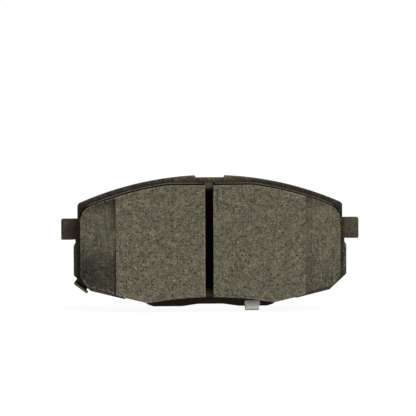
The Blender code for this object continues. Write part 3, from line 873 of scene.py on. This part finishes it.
def make_shim():
    outline = wall_outline("inner_shim", RUBBER_REAR_Y)
    lip_b = HOOK_LINE - 2 * HOOK_ARC - HOOK_RUN
    tip_b = lip_b - (HOOK_TIP_Z - HOOK_LINE)
    neck, lip = HOOK_NECK_HALF, HOOK_LIP_HALF
    joint = [p for p in outline if abs(p[0] - HOOK_X) > neck or p[1] > SPLIT_Z]
    foot = outline[:, 1].min()
    half_tab = [
        (neck, foot),
        (neck, lip_b - 0.3 * MM),
        (lip, lip_b - 0.6 * MM),
        (lip, tip_b + 0.5 * MM),
        (lip - 0.5 * MM, tip_b),
    ]
    tab = [(HOOK_X - half, b) for half, b in half_tab]
    tab += [(HOOK_X + half, b) for half, b in reversed(half_tab)]
    # The tab goes in where the outline, anticlockwise, passes the hook along its lower edge.
    after = next(i for i, p in enumerate(joint) if p[1] < SPLIT_Z and joint[i - 1][0] < HOOK_X <= p[0])
    pattern = np.array(joint[:after] + tab + joint[after:])
    windows = []
    for side in (-1, 1):
        corners = [
            (side * WINDOW_X + sx * WINDOW_HALF.x, WINDOW_Z + sz * WINDOW_HALF.y)
            for sx, sz in ((-1, -1), (1, -1), (1, 1), (-1, 1))
        ]
        windows.append(rounded(corners, WINDOW_HALF.y * 0.98, 9))
    mesh = sheet_mesh("shim", pattern, windows, 0.75 * MM, SHIM_T, shim_bend, 0.1 * MM)
    light, dark, spots = (0.66, 0.665, 0.61), (0.50, 0.515, 0.48), (0.30, 0.28, 0.24)
    finish = steel_finish("bright_sheet", light, dark, 0.45, (0.5, 1.0, 4.0), spots, SHIM_LOW.z / MM)
    return finish_piece(mesh, "shim", "outer_shim", finish, 40)


def make_rubber():
    outline = resampled(wall_outline("inner_shim", RUBBER_REAR_Y), 0.7 * MM)
    front, rear = PLATE_REAR_Y + CLOSE, SHIM_HIGH.y - SHIM_T - CLOSE
    profile = [
        (0.20, front),
        (0.06, front + 0.08 * MM),
        (0.0, front + 0.3 * MM),
        (0.0, rear - 0.3 * MM),
        (0.06, rear - 0.08 * MM),
        (0.20, rear),
    ]
    wobble = 0.06 * MM + roughness_along(outline, 2.0 * MM, 0.05 * MM, 6.0)
    mesh = edge_profile_mesh("rubber_shim", outline, profile, wobble)
    return finish_piece(mesh, "rubber_shim", "inner_shim", rubber_finish())


def from_corner(u, v, y):
    """World place of (u, v) in the wear indicator's own frame."""
    c, s = math.cos(CORNER_ANGLE), math.sin(CORNER_ANGLE)
    return (CORNER.x + u * c - v * s, y, CORNER.y + u * s + v * c)


def strip_bend(s, v):
    """Places the indicator's flat pattern: past the plate's corner it turns towards the disc."""
    if s <= STRIP_LINE:
        return from_corner(s, v, STRIP_MIDDLE_Y)
    s = s - STRIP_LINE
    if s < STRIP_ARC:
        angle = s / STRIP_BEND_R
        u = STRIP_LINE + STRIP_BEND_R * math.sin(angle)
        return from_corner(u, v, STRIP_MIDDLE_Y - STRIP_BEND_R * (1 - math.cos(angle)))
    return from_corner(STRIP_LINE + STRIP_BEND_R, v, STRIP_MIDDLE_Y - STRIP_BEND_R - (s - STRIP_ARC))


def make_strip():
    base = STRIP_LINE + STRIP_ARC + STRIP_MIDDLE_Y - STRIP_BEND_R  # s on the leg is this less Y
    shoulder = base - (STRIP_HIGH.y - STRIP_NECK_LENGTH)
    end = base - STRIP_LOW.y
    turn = math.asin(TONGUE_HALF / TONGUE_R)
    count = 28
    angles = [turn + (2 * math.pi - 2 * turn) * i / count for i in range(count + 1)]
    round_end = [(-RIVET_IN + TONGUE_R * math.cos(t), TONGUE_R * math.sin(t)) for t in angles]
    leg = [
        (-1.5 * MM, -TONGUE_HALF),
        (-1.0 * MM, -STRIP_HALF),
        (end - 0.5 * MM, -STRIP_HALF),
        (end, -STRIP_HALF + 0.5 * MM),
        (end, STRIP_HALF - 0.5 * MM),
        (end - 0.5 * MM, STRIP_HALF),
        (shoulder + 0.3 * MM, STRIP_HALF),
        (shoulder, STRIP_HALF - 0.3 * MM),
        (shoulder, STRIP_NECK_END + 0.3 * MM),
        (shoulder - 0.3 * MM, STRIP_NECK_END),
        (-1.5 * MM, STRIP_NECK_END),
        (-2.2 * MM, TONGUE_HALF),
    ]
    pattern = np.array(leg + round_end)
    hole_r = RIVET_R * 1.08
    ring = [2 * math.pi * i / 24 for i in range(24)]
    hole = np.array([(-RIVET_IN + hole_r * math.cos(t), hole_r * math.sin(t)) for t in ring])
    mesh = sheet_mesh("wear_strip", pattern, [hole], 0.42 * MM, STRIP_T, strip_bend, 0.16 * MM)
    light, dark, spots = (0.215, 0.185, 0.13), (0.115, 0.092, 0.066), (0.11, 0.07, 0.04)
    finish = steel_finish("spring_strip", light, dark, 0.45, (3.0, 0.6, 3.0), spots)
    return finish_piece(mesh, "wear_strip", "wear_indicator", finish, 40)


def make_rivet():
    middle = (RIVET_LOW + RIVET_HIGH) / 2
    under = STRIP_HIGH.y + CLOSE
    top = RIVET_HIGH.y
    head_r = (RIVET_HIGH.x - RIVET_LOW.x) / 2
    profile = [
        (0.0, RIVET_LOW.y),
        (RIVET_R - 0.3 * MM, RIVET_LOW.y),
        (RIVET_R, RIVET_LOW.y + 0.3 * MM),
        (RIVET_R, under - 0.1 * MM),
        (head_r - 0.25 * MM, under),
        (head_r, under + 0.12 * MM),
        (head_r, under + 0.5 * MM),
        (head_r * 0.93, top - 0.42 * MM),
        (head_r * 0.80, top - 0.20 * MM),
        (head_r * 0.60, top - 0.05 * MM),
        (head_r * 0.42, top),
        (head_r * 0.34, top - 0.03 * MM),
        (head_r * 0.27, top - 0.16 * MM),  # dimple left by the setting punch
        (head_r * 0.14, top - 0.23 * MM),
        (0.0, top - 0.25 * MM),
    ]
    bm = bmesh.new()
    points = [bm.verts.new((middle.x + r, y, middle.z)) for r, y in profile]
    edges = [bm.edges.new(pair) for pair in zip(points, points[1:])]
    bmesh.ops.spin(
        bm, geom=points + edges, cent=middle, axis=(0, 1, 0), angle=2 * math.pi, steps=48, use_merge=True
    )
    bmesh.ops.remove_doubles(bm, verts=bm.verts, dist=SNAP / 2)
    light, dark = (0.46, 0.45, 0.42), (0.33, 0.32, 0.30)
    finish = steel_finish("plated_rivet", light, dark, 0.38, (1.5, 1.0, 1.5))
    return finish_piece(mesh_from(bm, "rivet"), "rivet", "wear_indicator_rivet", finish, 50)


# ---- studio ----


def make_floor():
    """A pale floor under the hook, which is the pad's lowest point."""
    bm = bmesh.new()
    bmesh.ops.create_grid(bm, x_segments=8, y_segments=8, size=4.0)
    mesh = bpy.data.meshes.new("floor")
    bm.to_mesh(mesh)
    bm.free()
    floor = in_scene("floor", mesh)
    floor.location.z = cad_box[0][2] - 0.1 * MM
    f = Finish("floor_paper", roughness=1.0, specular=0.0)
    seen = f.add("ShaderNodeLightPath").outputs["Is Camera Ray"]
    tone = f.times(seen, f.ramp(f.noise(600.0, 2.0), 0.3, 0.7, 0.10, 0.12))
    f.shader.inputs["Emission Color"].default_value = (1.0, 1.0, 1.0, 1.0)
    glow = f.ramp(seen, 0.0, 1.0, FLOOR_BOUNCE, FLOOR_GLOW)
    colour = f.add("ShaderNodeCombineColor", {0: tone, 1: tone, 2: tone}).outputs[0]
    mesh.materials.append(f.connect(base_color=colour, emission_strength=glow))


def direction(azimuth, elevation):
    """The way towards something at an azimuth, measured from -Y towards +X, and an elevation."""
    flat = math.cos(elevation)
    return Vector((math.sin(azimuth) * flat, -math.cos(azimuth) * flat, math.sin(elevation)))


def make_camera():
    data = bpy.data.cameras.new("camera")
    data.sensor_width = CAM_SENSOR
    data.lens = CAM_SENSOR * CAM_DISTANCE / CAM_SPAN
    data.clip_start = 0.01
    camera = in_scene("camera", data)
    away = direction(CAM_AZIMUTH, CAM_ELEVATION)
    target = Vector((CAM_TARGET_XZ[0], PLATE_FRONT_Y, CAM_TARGET_XZ[1]))
    turn = away.to_track_quat("Z", "Y").to_matrix().to_4x4()
    roll = Matrix.Rotation(-CAM_ROLL, 4, "Z")
    camera.matrix_world = Matrix.Translation(target + away * CAM_DISTANCE) @ turn @ roll
    bpy.context.scene.camera = camera


def make_sun(name, azimuth, elevation, spread, strength):
    """A sun lamp; its angles are degrees."""
    data = bpy.data.lights.new(name, "SUN")
    data.angle = math.radians(spread)
    data.energy = strength
    lamp = in_scene(name, data)
    away = direction(math.radians(azimuth), math.radians(elevation))
    lamp.matrix_world = Matrix.Translation(away * 2) @ away.to_track_quat("Z", "Y").to_matrix().to_4x4()


def make_world():
    """White where the camera looks past the object, and a dim even light for everything else."""
    world = bpy.data.worlds.new("studio")
    world.use_nodes = True
    tree = world.node_tree
    ambient = tree.nodes["Background"]
    ambient.inputs["Color"].default_value = (1.0, 1.0, 1.0, 1.0)
    ambient.inputs["Strength"].default_value = AMBIENT
    white = tree.nodes.new("ShaderNodeBackground")
    white.inputs["Color"].default_value = (1.0, 1.0, 1.0, 1.0)
    path = tree.nodes.new("ShaderNodeLightPath")
    blend = tree.nodes.new("ShaderNodeMixShader")
    tree.links.new(path.outputs["Is Camera Ray"], blend.inputs[0])
    tree.links.new(ambient.outputs[0], blend.inputs[1])
    tree.links.new(white.outputs[0], blend.inputs[2])
    tree.links.new(blend.outputs[0], tree.nodes["World Output"].inputs["Surface"])
    bpy.context.scene.world = world


def main():
    bpy.context.scene.view_settings.view_transform = "Standard"
    make_camera()
    make_world()
    make_sun("key", azimuth=30, elevation=50, spread=60, strength=3.05)
    make_floor()
    make_plate()
    make_underlayer()
    composite = friction_finish()
    for side in (-1, 1):
        make_friction_block(side, composite)
    make_rubber()
    make_shim()
    make_strip()
    make_rivet()


main()
